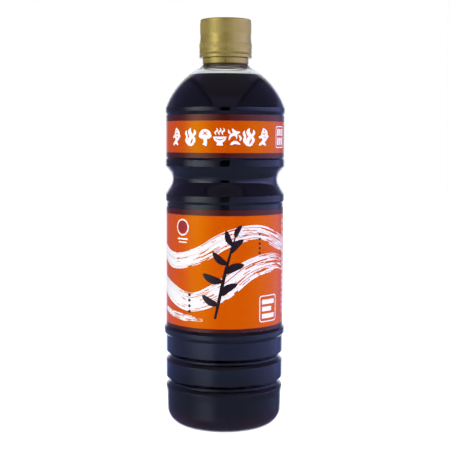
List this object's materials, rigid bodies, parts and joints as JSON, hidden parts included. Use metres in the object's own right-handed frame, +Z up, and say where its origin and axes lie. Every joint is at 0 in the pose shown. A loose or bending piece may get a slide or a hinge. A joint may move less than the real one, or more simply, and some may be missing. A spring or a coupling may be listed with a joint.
{
  "type": "dashi concentrate bottle",
  "caption": "Clear PET bottle of dark dashi concentrate with grip grooves, pinched waist, orange film labels and a gold screw cap.",
  "frame": {"origin": "centre of the standing face under the bottle", "axes": "+Z up along the bottle's axis, -Y towards the front of the labels"},
  "size_m": [0.0807, 0.0806, 0.2692],
  "materials": {
    "pet": "clear blown plastic",
    "concentrate": "near-black brown liquid",
    "label_film": "printed orange film with dark red edges",
    "gold": "satin metallic gold"
  },
  "bodies": {
    "root": {"bottle": "pet", "drink": "concentrate", "upper_label": "label_film", "lower_label": "label_film", "closure_ring": "gold", "cap": "gold"}
  },
  "joints": []
}
